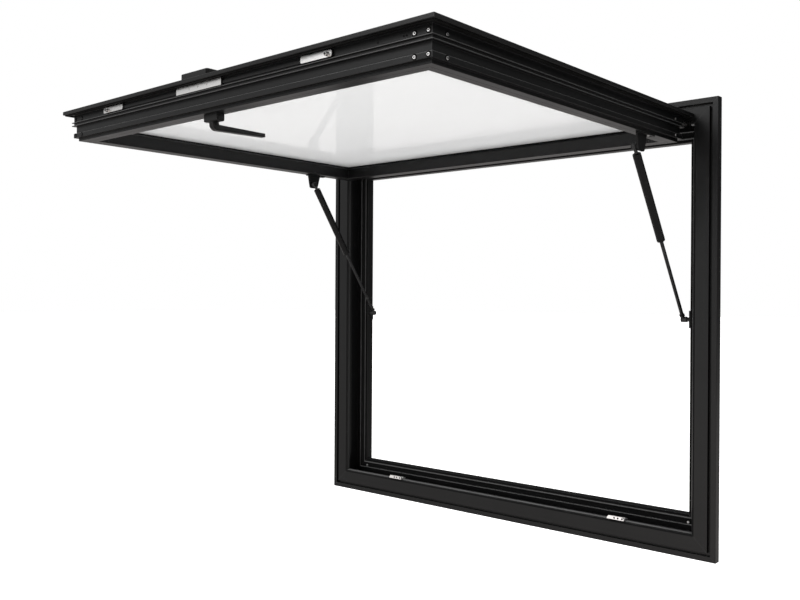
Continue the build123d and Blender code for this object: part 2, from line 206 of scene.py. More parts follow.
class ShaderGraph(Graph):
    """The node tree of one material."""

    def __init__(self, name: str) -> None:
        """Start an empty material.

        Args:
            name: the material's name.
        """
        self.material = bpy.data.materials.new(name)
        self.material.use_nodes = True
        super().__init__(self.material.node_tree)
        self.tree.nodes.clear()
        self.place = self.node("ShaderNodeTexCoord").outputs["Object"]

    def axes(self) -> tuple[Signal, Signal, Signal]:
        """Split the object's own coordinates into X, Y and Z."""
        split = self.node("ShaderNodeSeparateXYZ", None, {"Vector": self.place})
        return tuple(Signal(self, out) for out in split.outputs)

    def facing_up(self) -> Signal:
        """How far the surface faces the sky, from -1 to 1."""
        normal = self.node("ShaderNodeNewGeometry").outputs["Normal"]
        return Signal(self, self.node("ShaderNodeSeparateXYZ", None, {"Vector": normal}).outputs["Z"])

    def noise(
        self, scale: float, detail: float = 2.0, stretch: tuple[float, float, float] = (1.0, 1.0, 1.0)
    ) -> Signal:
        """Cloud noise in the object's own coordinates.

        Args:
            scale: features to the metre.
            detail: octaves.
            stretch: scale along each axis, for streaks.

        Returns:
            A value around one half.
        """
        mapped = self.node("ShaderNodeMapping", None, {"Vector": self.place, "Scale": stretch}).outputs[0]
        sockets = {"Vector": mapped, "Scale": scale, "Detail": detail}
        return self.value("ShaderNodeTexNoise", None, sockets, 0)

    def cells(self, scale: float) -> Signal:
        """Distance to the nearest of many scattered points, for specks."""
        return self.value("ShaderNodeTexVoronoi", None, {"Vector": self.place, "Scale": scale}, "Distance")

    def bump(self, height: Signal, depth: float) -> bpy.types.NodeSocket:
        """Turn a height of 0 to 1 into a surface normal, with depth in metres."""
        return self.node("ShaderNodeBump", None, {"Height": height, "Distance": depth}).outputs["Normal"]

    def finish(self, shader: bpy.types.Node) -> bpy.types.Material:
        """Send a shader to the output.

        Args:
            shader: the last shader node.

        Returns:
            The material.
        """
        output = self.node("ShaderNodeOutputMaterial")
        self.tree.links.new(shader.outputs[0], output.inputs["Surface"])
        return self.material

    def surface(self, sockets: dict) -> bpy.types.Material:
        """Finish the material with a Principled shader on the given sockets."""
        return self.finish(self.node("ShaderNodeBsdfPrincipled", None, sockets))


class BarPlane(Enum):
    """Which way a mitred ring of bars stands at rest."""

    UPRIGHT = 2
    LEVEL = 1


@dataclass(frozen=True)
class Mitre:
    """The four mitre joints of a rectangular ring of bars."""

    half_width: float
    low: float
    high: float
    plane: BarPlane
    hairline: float = 0.0002
    soft: float = 0.0008

    @classmethod
    def around(cls, first: str, second: str, plane: BarPlane) -> "Mitre":
        """Measure the ring between two opposite bars.

        Args:
            first: the node of the lower or front bar.
            second: the node of the upper or back bar.
            plane: the way the ring stands.

        Returns:
            The ring's mitres.
        """
        low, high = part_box(first)
        far_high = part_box(second)[1]
        return cls(high.x, low[plane.value], far_high[plane.value], plane)

    def reach(self, graph: ShaderGraph) -> tuple[Signal, Signal]:
        """How far in from its outer edges a point of the ring lies.

        Args:
            graph: the material's node tree.

        Returns:
            The distance from the nearer side, and from the nearer of the other two edges.
        """
        axes = graph.axes()
        along = axes[self.plane.value]
        return self.half_width - abs(axes[0]), (along - self.low).least(self.high - along)

    def inset(self, graph: ShaderGraph) -> Signal:
        """How far in from the ring's outer edge a point lies."""
        across, edge = self.reach(graph)
        return across.least(edge)

    def side(self, graph: ShaderGraph) -> Signal:
        """A value of 1 on the ring's two sides and 0 on its other two bars."""
        across, edge = self.reach(graph)
        return (edge - across).ease(0.0, self.soft)

    def mask(self, graph: ShaderGraph) -> Signal:
        """A value of 1 along the joint lines and 0 elsewhere."""
        across, edge = self.reach(graph)
        return 1.0 - abs(across - edge).ease(self.hairline, self.soft)


@dataclass(frozen=True)
class Stripe:
    """A band along a ring of bars, between two insets from its edge and two depths."""

    near: float
    far: float
    front: float
    back: float
    sides: float = 1.0
    soft: float = 0.0003

    def mask(self, ring: Mitre, graph: ShaderGraph) -> Signal:
        """A value of 1 in the band, weaker along the ring's two sides, and 0 elsewhere.

        Args:
            ring: the ring of bars that the band runs round.
            graph: the material's node tree.

        Returns:
            The band's share.
        """
        depth = graph.axes()[3 - ring.plane.value]
        band = ring.inset(graph).within(self.near, self.far, self.soft)
        band = band * depth.within(self.front, self.back, self.soft)
        return band * (1.0 - ring.side(graph) * (1.0 - self.sides))


class Band(Enum):
    """The thin bands along the bars: painted highlights on edges that would catch the light, and two dull
    strips beside them.
    """

    FRAME_LIP = Stripe(0.0598, 0.0622, 0.0300, 0.0330, 0.5)
    FRAME_NOSE = Stripe(0.0548, 0.0572, -0.0205, -0.0120, 0.15)
    NOSE_SHADE = Stripe(0.0495, 0.0525, -0.0205, -0.0180)
    STOP_SHADE = Stripe(0.0625, 0.0830, 0.0360, 0.0372)
    SEAL_HIGHLIGHT = Stripe(0.0752, 0.0778, 0.0330, 0.0345, 0.5)
    UPPER_FIN = Stripe(0.0130, 0.0150, 0.9524, 0.9538)
    LOWER_FIN = Stripe(0.0130, 0.0150, 0.9454, 0.9468)
    SASH_FOOT = Stripe(0.0165, 0.0185, 0.9284, 0.9298)


class Finish:
    """A surface finish that can make its own material."""

    def material(self) -> bpy.types.Material:
        """Build the material."""
        raise NotImplementedError


@dataclass(frozen=True)
class PowderCoat(Finish):
    """Satin black powder coat on aluminium: fine grain, orange peel, dust on ledges, mitre lines, and
    painted highlights on the listed edge bands.
    """

    name: str
    mitre: Mitre | None = None
    colour: Colour = grey(0.0020, -0.03)
    grain_colour: Colour = grey(0.0045, -0.02)
    dust_colour: Colour = grey(0.03, 0.03)
    joint_colour: Colour = grey(0.018)
    # painted highlight: the lighter colour laid on the edge bands where they would catch the light
    painted_highlight_colour: Colour = grey(0.09)
    roughness: float = 0.34
    specular: float = 0.20
    edges: tuple[Band, ...] = ()
    shades: tuple[Band, ...] = ()
    grain_scale: float = 2600.0
    peel_scale: float = 620.0
    mottle_scale: float = 9.0
    dust_scale: float = 46.0
    dust_share: float = 0.35
    speck_scale: float = 210.0
    speck_patch: float = 17.0
    speck_share: float = 0.3
    relief: float = 0.00005
    joint_depth: float = 2.0

    def material(self) -> bpy.types.Material:
        """Build the coat.

        Returns:
            The material.
        """
        graph = ShaderGraph(self.name)
        grain = graph.noise(self.grain_scale)
        mottle = graph.noise(self.mottle_scale, 4.0)
        peel = graph.noise(self.peel_scale)
        ledge = graph.facing_up().ease(0.75, 1.0)
        dust = ledge * graph.noise(self.dust_scale, 5.0).ease(0.46, 0.72) * self.dust_share
        speck = 1.0 - graph.cells(self.speck_scale).ease(0.03, 0.10)
        speck = speck * graph.noise(self.speck_patch).ease(0.5, 0.66) * self.speck_share
        colour = graph.blend(grain.ease(0.35, 0.75), self.colour, self.grain_colour)
        colour = graph.blend(dust.most(speck), colour, self.dust_colour)
        rough = self.roughness + (mottle - 0.5) * 0.16 + (grain - 0.5) * 0.10 + dust * 0.25
        height = peel * 0.55 + grain * 0.45
        if self.mitre:
            joint = self.mitre.mask(graph)
            colour = graph.blend(joint, colour, self.joint_colour)
            height = height - joint * self.joint_depth
        # painted highlights: each edge band lifts the base colour towards the painted highlight colour
        for band in self.edges:
            colour = graph.blend(band.value.mask(self.mitre, graph), colour, self.painted_highlight_colour)
        for band in self.shades:
            rough = rough.most(band.value.mask(self.mitre, graph))
        sockets = {
            "Base Color": colour,
            "Roughness": rough,
            "Normal": graph.bump(height, self.relief),
            "Specular IOR Level": self.specular,
        }
        return graph.surface(sockets)


@dataclass(frozen=True)
class BrightSteel(Finish):
    """Brushed plated steel, drawn along X, with a few dull patches."""

    name: str
    colour: Colour = grey(0.70, 0.01)
    dull: Colour = grey(0.50, 0.02)
    roughness: float = 0.30
    streak: float = 0.14
    stretch: tuple[float, float, float] = (0.02, 1.0, 1.0)
    brush_scale: float = 1500.0
    patch_scale: float = 60.0
    relief: float = 0.00003

    def material(self) -> bpy.types.Material:
        """Build the metal.

        Returns:
            The material.
        """
        graph = ShaderGraph(self.name)
        brushed = graph.noise(self.brush_scale, 3.0, self.stretch)
        patch = graph.noise(self.patch_scale, 4.0).ease(0.45, 0.75)
        rough = self.roughness + (brushed - 0.5) * self.streak + patch * 0.12
        sockets = {
            "Base Color": graph.blend(patch * 0.55 + (brushed - 0.5) * 0.3, self.colour, self.dull),
            "Metallic": 1.0,
            "Roughness": rough,
            "Normal": graph.bump(brushed, self.relief),
        }
        return graph.surface(sockets)


@dataclass(frozen=True)
class Rubber(Finish):
    """Matt black extruded seal with a faint bloom, and an optional painted highlight band."""

    name: str
    colour: Colour = grey(0.0012)
    bloom: Colour = grey(0.005, 0.02)
    roughness: float = 0.80
    ring: Mitre | None = None
    seal_highlight_band: Band | None = None
    seal_highlight_colour: Colour = grey(0.09)
    specular: float = 0.12
    skin_scale: float = 1800.0
    bloom_scale: float = 24.0
    relief: float = 0.00006

    def material(self) -> bpy.types.Material:
        """Build the rubber.

        Returns:
            The material.
        """
        graph = ShaderGraph(self.name)
        skin = graph.noise(self.skin_scale, 3.0)
        bloom = graph.noise(self.bloom_scale, 5.0).ease(0.45, 0.8)
        colour = graph.blend(bloom, self.colour, self.bloom)
        # painted highlight: a lighter band on the stop seal's front where its edge would catch the light
        if self.ring and self.seal_highlight_band:
            colour = graph.blend(self.seal_highlight_band.value.mask(self.ring, graph), colour, self.seal_highlight_colour)
        sockets = {
            "Base Color": colour,
            "Roughness": self.roughness + (skin - 0.5) * 0.2,
            "Normal": graph.bump(skin, self.relief),
            "Specular IOR Level": self.specular,
        }
        return graph.surface(sockets)


@dataclass(frozen=True)
class ClearGlass(Finish):
    """Float glass with faint wipe marks: clear face on, whitening at a slant to a lit diffuse white that is
    a painted reflection.
    """

    name: str
    tint: Colour = (0.988, 0.990, 0.990, 1.0)
    painted_reflection: Colour = grey(0.74)
    clear_to: float = 0.10
    white_from: float = 0.70
    most: float = 0.04
    haze: float = 0.01
    shine: float = 0.05
    roughness: float = 0.03
    smear: float = 0.08
    wipe_scale: float = 3.2
    wipe_stretch: tuple[float, float, float] = (1.0, 2.2, 1.0)

    def material(self) -> bpy.types.Material:
        """Build the glass.

        Returns:
            The material.
        """
        graph = ShaderGraph(self.name)
        wipe = graph.noise(self.wipe_scale, 6.0, self.wipe_stretch).ease(0.52, 0.8)
        clear = graph.node("ShaderNodeBsdfTransparent", None, {"Color": self.tint})
        # painted reflection: a diffuse white mixed in at a slant stands in for the bright surroundings
        # mirrored in the glass
        gloss = graph.node("ShaderNodeBsdfPrincipled", None, {
            "Base Color": self.painted_reflection,
            "Roughness": self.roughness + wipe * self.smear,
            "Specular IOR Level": self.shine,
        })
        slant = graph.value("ShaderNodeLayerWeight", None, {"Blend": 0.5}, "Facing")
        share = slant.ease(self.clear_to, self.white_from) * self.most + wipe * self.haze
        sockets = {0: share, 1: clear.outputs[0], 2: gloss.outputs[0]}
        return graph.finish(graph.node("ShaderNodeMixShader", None, sockets))


@dataclass(frozen=True)
class SpacerBar(Finish):
    """Dark spacer bar between the panes, pricked with small drying holes."""

    name: str
    colour: Colour = grey(0.008, -0.04)
    hole: Colour = grey(0.003)
    roughness: float = 0.6
    rolled_scale: float = 700.0
    rolled_stretch: tuple[float, float, float] = (0.05, 0.05, 1.0)
    hole_scale: float = 260.0
    relief: float = 0.00004

    def material(self) -> bpy.types.Material:
        """Build the spacer's metal.

        Returns:
            The material.
        """
        graph = ShaderGraph(self.name)
        rolled = graph.noise(self.rolled_scale, 2.0, self.rolled_stretch)
        pricked = 1.0 - graph.cells(self.hole_scale).ease(0.10, 0.16)
        sockets = {
            "Base Color": graph.blend(pricked * 0.6, self.colour, self.hole),
            "Roughness": self.roughness + (rolled - 0.5) * 0.2,
            "Normal": graph.bump(rolled - pricked * 0.5, self.relief),
        }
        return graph.surface(sockets)


@dataclass(frozen=True)
class GlossPaint(Finish):
    """Stoved gloss black of the strut tube, with light scuffs."""

    name: str
    colour: Colour = grey(0.003)
    scuff: Colour = grey(0.014, 0.02)
    roughness: float = 0.24
    specular: float = 0.2
    peel_scale: float = 480.0
    rub_scale: float = 120.0
    rub_stretch: tuple[float, float, float] = (1.0, 1.0, 0.35)
    relief: float = 0.00003

    def material(self) -> bpy.types.Material:
        """Build the paint.

        Returns:
            The material.
        """
        graph = ShaderGraph(self.name)
        peel = graph.noise(self.peel_scale)
        rub = graph.noise(self.rub_scale, 6.0, self.rub_stretch).ease(0.58, 0.78)
        sockets = {
            "Base Color": graph.blend(rub * 0.5, self.colour, self.scuff),
            "Roughness": self.roughness + rub * 0.22 + (peel - 0.5) * 0.06,
            "Normal": graph.bump(peel, self.relief),
            "Specular IOR Level": self.specular,
        }
        return graph.surface(sockets)


@dataclass(frozen=True)
class BlackenedSteel(Finish):
    """Nitrided or oiled black steel, smooth and a little metallic."""

    name: str
    colour: Colour = grey(0.010, -0.03)
    bare: Colour = grey(0.05, 0.02)
    roughness: float = 0.26
    metal: float = 0.4
    drawn_scale: float = 900.0
    drawn_stretch: tuple[float, float, float] = (1.0, 0.12, 0.12)
    worn_scale: float = 70.0
    relief: float = 0.00002

    def material(self) -> bpy.types.Material:
        """Build the steel.

        Returns:
            The material.
        """
        graph = ShaderGraph(self.name)
        drawn = graph.noise(self.drawn_scale, 3.0, self.drawn_stretch)
        worn = graph.noise(self.worn_scale, 5.0).ease(0.55, 0.8)
        sockets = {
            "Base Color": graph.blend(worn * 0.6, self.colour, self.bare),
            "Metallic": self.metal,
            "Roughness": self.roughness + (drawn - 0.5) * 0.14 + worn * 0.10,
            "Normal": graph.bump(drawn, self.relief),
        }
        return graph.surface(sockets)


@dataclass(frozen=True)
class Moulded(Finish):
    """Moulded black nylon with a fine spark texture."""

    name: str
    colour: Colour = grey(0.010)
    high: Colour = grey(0.020)
    roughness: float = 0.50
    specular: float = 0.35
    spark_scale: float = 2200.0
    flow_scale: float = 35.0
    relief: float = 0.00008

    def material(self) -> bpy.types.Material:
        """Build the nylon.

        Returns:
            The material.
        """
        graph = ShaderGraph(self.name)
        spark = graph.noise(self.spark_scale, 4.0)
        flow = graph.noise(self.flow_scale, 3.0)
        sockets = {
            "Base Color": graph.blend(spark.ease(0.4, 0.7), self.colour, self.high),
            "Roughness": self.roughness + (flow - 0.5) * 0.15,
            "Normal": graph.bump(spark, self.relief),
            "Specular IOR Level": self.specular,
        }
        return graph.surface(sockets)


class FinishKind(Enum):
    """The finishes of this window, by record slot, with two more for the stop seal and the outer pane."""

    FRAME_COAT = "frame_coat"
    SASH_COAT = "sash_coat"
    SEAL = "seal_rubber"
    STOP_SEAL = "stop_seal_rubber"
    GLASS = "glass"
    OUTER_GLASS = "outer_glass"
    SPACER = "spacer_bar"
    BRIGHT = "bright_steel"
    ROD = "strut_rod"
    TUBE = "strut_tube"
    FITTING = "strut_fitting"
    BRACKET = "bracket_coat"
    HANDLE = "handle_coat"


class Wardrobe:
    """Makes each finish once and dresses pieces with it."""

    def __init__(self) -> None:
        """Build every finish of the window."""
        frame_mitre = Mitre.around("frame_sill", "frame_head", BarPlane.UPRIGHT)
        sash_mitre = Mitre.around("sash_bottom_rail", "sash_hinge_rail", BarPlane.LEVEL)
        finishes = {
            # the frame and sash coats carry painted highlights on the bands given as edges
            FinishKind.FRAME_COAT: PowderCoat(
                "frame coat", frame_mitre,
                edges=(Band.FRAME_LIP, Band.FRAME_NOSE), shades=(Band.NOSE_SHADE, Band.STOP_SHADE),
            ),
            FinishKind.SASH_COAT: PowderCoat(
                "sash coat", sash_mitre, painted_highlight_colour=grey(0.06),
                edges=(Band.UPPER_FIN, Band.LOWER_FIN, Band.SASH_FOOT),
            ),
            FinishKind.SEAL: Rubber("seal rubber"),
            # the stop seal carries a painted highlight band
            FinishKind.STOP_SEAL: Rubber("stop seal rubber", ring=frame_mitre, seal_highlight_band=Band.SEAL_HIGHLIGHT),
            # the inner pane takes a greyer, stronger painted reflection
            FinishKind.GLASS: ClearGlass("inner glass", painted_reflection=grey(0.535), most=0.78),
            FinishKind.OUTER_GLASS: ClearGlass("outer glass"),
            FinishKind.SPACER: SpacerBar("spacer bar"),
            FinishKind.BRIGHT: BrightSteel("bright steel"),
            FinishKind.ROD: BlackenedSteel("strut rod steel"),
            FinishKind.TUBE: GlossPaint("strut tube paint"),
            FinishKind.FITTING: Moulded("strut eye nylon"),
            FinishKind.BRACKET: PowderCoat("bracket coat", roughness=0.46),
            FinishKind.HANDLE: PowderCoat("handle coat", colour=grey(0.003), roughness=0.38),
        }
        self.materials = {kind: finish.material() for kind, finish in finishes.items()}

    def dress(self, kind: FinishKind, *names: str) -> None:
        """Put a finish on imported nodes.

        Args:
            kind: the finish.
            names: the nodes.
        """
        for name in names:
            slots = frame["nodes"][name].data.materials
            slots.clear()
            slots.append(self.materials[kind])
            LOG.info("dressed %s in %s", name, kind.value)

    def add(self, name: str, mesh: bpy.types.Mesh, kind: FinishKind, body: str) -> None:
        """Put a new piece in the scene and let it ride on a body.

        Args:
            name: the piece's name.
            mesh: its mesh, already in place.
            kind: its finish.
            body: the body that carries it.
        """
        mesh.materials.clear()
        mesh.materials.append(self.materials[kind])
        piece = bpy.data.objects.new(name, mesh)
        bpy.context.scene.collection.objects.link(piece)
        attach(piece, body)
        LOG.info("added %s on %s", name, body)


@dataclass(frozen=True)
class HeadSize:
    """Sizes of one kind of fixing head."""

    radius: float
    height: float
    crown: float
    socket: float
    depth: float
    sides: int = 18


class HeadKind(Enum):
    """The heads that show on this window, with dark discs that are painted shadow round screw heads and
    painted shade in sockets and holes.
    """

    CORNER = HeadSize(0.0029, 0.0013, 0.86, 0.50, 0.0001)
    PLATE = HeadSize(0.0032, 0.0016, 0.80, 0.50, 0.0011)
    SMALL = HeadSize(0.0017, 0.0006, 0.90, 0.50, 0.0004)
    # painted shadow: a thin dark disc round a screw head where the countersink lies in shade
    SHADOW_DISC = HeadSize(0.0050, 0.0002, 0.96, 0.80, 0.0001)
    # painted shade: a dark disc on a screw's top for the shade in its socket
    SOCKET_SHADE = HeadSize(0.0019, 0.0001, 0.96, 0.80, 0.00005, 4)
    AXLE = HeadSize(0.0024, 0.0006, 0.92, 0.60, 0.0005)
    # painted shade: dark discs for the shade inside drilled holes
    BORE_SHADE = HeadSize(0.0017, 0.0003, 0.96, 0.80, 0.0002)
    # painted shade: dark discs for the shade in the keepers' bores
    KEEPER_BORE_SHADE = HeadSize(0.0022, 0.0003, 0.96, 0.80, 0.0002)


@dataclass(frozen=True)
class Spot:
    """Where a fixing sits and the way its head points."""

    place: Vector
    out: Vector


class HeadField:
    """A Geometry Nodes tree that sets one kind of head on every spot."""

    WAY_NAME = "out"
    WALL_SHARE = 0.55
    CROWN_SHARE = 0.45
    MERGE_WITHIN = 0.000001

    def __init__(self) -> None:
        """Build the tree with its named inputs."""
        self.tree = bpy.data.node_groups.new("fixing heads", "GeometryNodeTree")
        self.graph = Graph(self.tree)
        self.ports: dict[str, str] = {}
        self.tree.interface.new_socket(name="Heads", in_out="OUTPUT", socket_type="NodeSocketGeometry")
        for name, kind in (
            ("Spots", "NodeSocketGeometry"),
            ("Radius", "NodeSocketFloat"),
            ("Height", "NodeSocketFloat"),
            ("Crown", "NodeSocketFloat"),
            ("Socket", "NodeSocketFloat"),
            ("Depth", "NodeSocketFloat"),
            ("Sides", "NodeSocketInt"),
            ("Seed", "NodeSocketInt"),
            ("Finish", "NodeSocketMaterial"),
        ):
            port = self.tree.interface.new_socket(name=name, in_out="INPUT", socket_type=kind)
            self.ports[name] = port.identifier
        self.given = self.graph.node("NodeGroupInput").outputs
        self.build()

    def grow(
        self, mesh: bpy.types.NodeSocket, top: bpy.types.NodeSocket | None, rise: Signal | float
    ) -> bpy.types.Node:
        """Extrude the top face of a mesh.

        Args:
            mesh: the mesh.
            top: the faces that go up, or none for all.
            rise: the height.

        Returns:
            The extrusion, with its outputs Mesh and Top.
        """
        sockets = {"Mesh": mesh, "Offset Scale": rise}
        if top:
            sockets["Selection"] = top
        return self.graph.node("GeometryNodeExtrudeMesh", {"mode": "FACES"}, sockets)

    def shrink(self, grown: bpy.types.Node, share: bpy.types.NodeSocket) -> bpy.types.NodeSocket:
        """Scale the top face of an extrusion about its middle."""
        sockets = {"Geometry": grown.outputs["Mesh"], "Selection": grown.outputs["Top"], "Scale": share}
        return self.graph.node("GeometryNodeScaleElements", {"domain": "FACE"}, sockets).outputs[0]

    def head(self) -> bpy.types.NodeSocket:
        """One head: a wall, a crowned rim and a sunk socket, closed underneath.

        Returns:
            The head's geometry.
        """
        graph, given = self.graph, self.given
        sockets = {"Vertices": given["Sides"], "Radius": given["Radius"]}
        disc = graph.node("GeometryNodeMeshCircle", {"fill_type": "NGON"}, sockets).outputs[0]
        height = Signal(graph, given["Height"])
        wall = self.grow(disc, None, height * self.WALL_SHARE)
        crown = self.grow(wall.outputs["Mesh"], wall.outputs["Top"], height * self.CROWN_SHARE)
        rim = self.grow(self.shrink(crown, given["Crown"]), crown.outputs["Top"], 0.0)
        sunk = 0.0 - Signal(graph, given["Depth"])
        pit = self.grow(self.shrink(rim, given["Socket"]), rim.outputs["Top"], sunk)
        under = graph.node("GeometryNodeFlipFaces", None, {"Mesh": disc}).outputs[0]
        joined = graph.node("GeometryNodeJoinGeometry")
        self.tree.links.new(pit.outputs["Mesh"], joined.inputs[0])
        self.tree.links.new(under, joined.inputs[0])
        merged = {"Geometry": joined.outputs[0], "Distance": self.MERGE_WITHIN}
        return graph.node("GeometryNodeMergeByDistance", None, merged).outputs[0]

    def build(self) -> None:
        """Set a head on every spot, turned to its own way out and by a seeded spin."""
        graph, given = self.graph, self.given
        sockets = {"Name": self.WAY_NAME}
        settings = {"data_type": "FLOAT_VECTOR"}
        way = graph.value("GeometryNodeInputNamedAttribute", settings, sockets, "Attribute")
        upright = graph.node("FunctionNodeAlignRotationToVector", {"axis": "Z"}, {"Vector": way}).outputs[0]
        spin_range = {"Min": 0.0, "Max": math.tau, "Seed": given["Seed"]}
        spin = graph.value("FunctionNodeRandomValue", {"data_type": "FLOAT"}, spin_range, "Value")
        sockets = {"Axis": UP, "Angle": spin}
        turn = graph.node("FunctionNodeAxisAngleToRotation", None, sockets).outputs[0]
        sockets = {"Rotation": upright, "Rotate By": turn}
        settings = {"rotation_space": "LOCAL"}
        turned = graph.node("FunctionNodeRotateRotation", settings, sockets).outputs[0]
        sockets = {"Points": given["Spots"], "Instance": self.head(), "Rotation": turned}
        heads = graph.node("GeometryNodeInstanceOnPoints", None, sockets).outputs[0]
        real = graph.node("GeometryNodeRealizeInstances", None, {"Geometry": heads}).outputs[0]
        sockets = {"Geometry": real, "Material": given["Finish"]}
        done = graph.node("GeometryNodeSetMaterial", None, sockets).outputs[0]
        self.tree.links.new(done, graph.node("NodeGroupOutput").inputs[0])

    def mesh(
        self, name: str, spots: list[Spot], kind: HeadKind, finish: bpy.types.Material
    ) -> bpy.types.Mesh:
        """Run the tree on some spots.

        Args:
            name: the new mesh's name.
            spots: where the heads go.
            kind: which head.
            finish: the heads' material.

        Returns:
            A plain mesh of all the heads.
        """
        seeds = bpy.data.meshes.new(name + "_spots")
        seeds.from_pydata([spot.place for spot in spots], [], [])
        ways = seeds.attributes.new(self.WAY_NAME, "FLOAT_VECTOR", "POINT")
        for item, spot in zip(ways.data, spots):
            item.vector = spot.out
        host = bpy.data.objects.new(name + "_host", seeds)
        bpy.context.scene.collection.objects.link(host)
        modifier = host.modifiers.new("heads", "NODES")
        modifier.node_group = self.tree
        size = kind.value
        values = {
            "Radius": size.radius, "Height": size.height, "Crown": size.crown, "Socket": size.socket,
            "Depth": size.depth, "Sides": size.sides, "Seed": len(spots), "Finish": finish,
        }
        for key, value in values.items():
            modifier[self.ports[key]] = value
        state = bpy.context.evaluated_depsgraph_get()
        made = bpy.data.meshes.new_from_object(host.evaluated_get(state), depsgraph=state)
        made.name = name
        bpy.data.objects.remove(host)
        bpy.data.meshes.remove(seeds)
        return made


def turned_mesh(name: str, profile: Outline, foot: Vector, axis: Vector, sides: int) -> bpy.types.Mesh:
    """Spin a closed profile into a ring round an axis.

    Args:
        name: the mesh's name.
        profile: corners as (radius, distance along the axis), in order.
        foot: where distance 0 lies.
        axis: the unit axis.
        sides: facets round the ring.

    Returns:
        A closed mesh.
    """
    turn = axis.to_track_quat("Z", "Y").to_matrix().to_4x4()
    place = Matrix.Translation(foot) @ turn
    shape = bmesh.new()
    rings = []
    for i in range(sides):
        angle = math.tau * i / sides
        across, up = math.cos(angle), math.sin(angle)
        points = [Vector((r * across, r * up, t)) for r, t in profile]
        rings.append([shape.verts.new(place @ point) for point in points])
    for i, ring in enumerate(rings):
        after = rings[(i + 1) % sides]
        for j in range(len(profile)):
            k = (j + 1) % len(profile)
            shape.faces.new((ring[j], after[j], after[k], ring[k]))
    bmesh.ops.recalc_face_normals(shape, faces=shape.faces)
    mesh = bpy.data.meshes.new(name)
    shape.to_mesh(mesh)
    shape.free()
    return mesh


def row(start: Vector, end: Vector, count: int, out: Vector) -> list[Spot]:
    """Evenly spaced spots from start to end.

    Args:
        start: the first place.
        end: the last place.
        count: how many.
        out: the way the heads point.

    Returns:
        The spots.
    """
    return [Spot(start.lerp(end, i / (count - 1)), out) for i in range(count)]


@dataclass
class SubAssembly:
    """A group of pieces that is dressed and fitted together."""

    wardrobe: Wardrobe
    heads: HeadField

    def dress(self) -> None:
        """Put the finishes on."""
        raise NotImplementedError

    def build(self) -> None:
        """Add the fixings, where the group has any."""

    def fix(self, name: str, spots: list[Spot], head: HeadKind, finish: FinishKind, body: str) -> None:
        """Add one piece made of many like heads."""
        mesh = self.heads.mesh(name, spots, head, self.wardrobe.materials[finish])
        self.wardrobe.add(name, mesh, finish, body)


@dataclass
class FrameAssembly(SubAssembly):
    """The outer frame with its stop seal, hinge leaf, keepers and jamb brackets."""

    keeper_screw_reach: float = 0.013
    keeper_screw_back: float = 0.006
    keeper_plate: float = 0.003
    keeper_bore_shades: tuple[float, ...] = (-0.0026, 0.0065, 0.0172)
    keeper_bore_up: float = 0.0038
    bracket_screw_reach: float = 0.0145
    bracket_plate: float = 0.003
    leaf_screws: int = 12
    leaf_end: float = 0.03
    leaf_screw_in: float = 0.010
    leaf_plate: float = 0.0025
    sill_screw: tuple[float, float, float] = (0.5045, 0.037, 0.0580)

    def dress(self) -> None:
        """Put the finishes on."""
        coat = ("frame_sill", "frame_head", "frame_left_jamb", "frame_right_jamb", "head_leaf")
        self.wardrobe.dress(FinishKind.FRAME_COAT, *coat)
        self.wardrobe.dress(FinishKind.STOP_SEAL, "stop_seal")
        self.wardrobe.dress(FinishKind.BRIGHT, "hinge_pin", "left_keeper", "right_keeper")
        self.wardrobe.dress(FinishKind.BRACKET, "left_jamb_bracket", "right_jamb_bracket")

    def keeper_spots(self) -> tuple[list[Spot], list[Spot]]:
        """Places of the keepers' screws and of the dark discs of painted shade at the bores in their lips.

        Returns:
            The screws, and the painted shade discs at the bores.
        """
        screws, bores = [], []
        for side in SIDES:
            low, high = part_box(side + "_keeper")
            middle = (low + high) / 2
            y, z = middle.y + self.keeper_screw_back, low.z + self.keeper_plate
            for way in BOTH_WAYS:
                screws.append(Spot(Vector((middle.x + way * self.keeper_screw_reach, y, z)), UP))
            # painted shade: dark discs on the lips' front where the bores lie in shade
            for reach in self.keeper_bore_shades:
                place = Vector((middle.x + reach, low.y, low.z + self.keeper_bore_up))
                bores.append(Spot(place, FRONT))
        return screws, bores

    def bracket_spots(self) -> list[Spot]:
        """Places of the screws in the jamb brackets' plates.

        Returns:
            The spots.
        """
        spots = []
        for side, inward in INWARD.items():
            low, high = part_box(side + "_jamb_bracket")
            middle = (low + high) / 2
            face = (low.x if side == "left" else high.x) + inward * self.bracket_plate
            for way in BOTH_WAYS:
                place = Vector((face, middle.y, middle.z + way * self.bracket_screw_reach))
                spots.append(Spot(place, Vector((inward, 0, 0))))
        return spots

    def leaf_spots(self) -> list[Spot]:
        """Places of the screws along the hinge leaf.

        Returns:
            The spots.
        """
        low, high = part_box("head_leaf")
        y, z = high.y - self.leaf_screw_in, high.z - self.leaf_plate
        ends = (Vector((low.x + self.leaf_end, y, z)), Vector((high.x - self.leaf_end, y, z)))
        return row(*ends, self.leaf_screws, DOWN)

    def build(self) -> None:
        """Add the screws of the keepers, brackets, hinge leaf and sill, and dark discs of painted shade at
        the keepers' bores.
        """
        screws, bores = self.keeper_spots()
        x, y, z = self.sill_screw
        sill = [Spot(Vector((way * x, y, z)), FRONT) for way in BOTH_WAYS]
        self.fix("keeper_screws", screws, HeadKind.PLATE, FinishKind.BRIGHT, "frame")
        # painted shade at the keepers' bores
        self.fix("keeper_bore_shades", bores, HeadKind.KEEPER_BORE_SHADE, FinishKind.SEAL, "frame")
        self.fix("jamb_bracket_screws", self.bracket_spots(), HeadKind.PLATE, FinishKind.BRACKET, "frame")
        self.fix("head_leaf_screws", self.leaf_spots(), HeadKind.PLATE, FinishKind.BRIGHT, "frame")
        self.fix("sill_screws", sill, HeadKind.PLATE, FinishKind.BRIGHT, "frame")


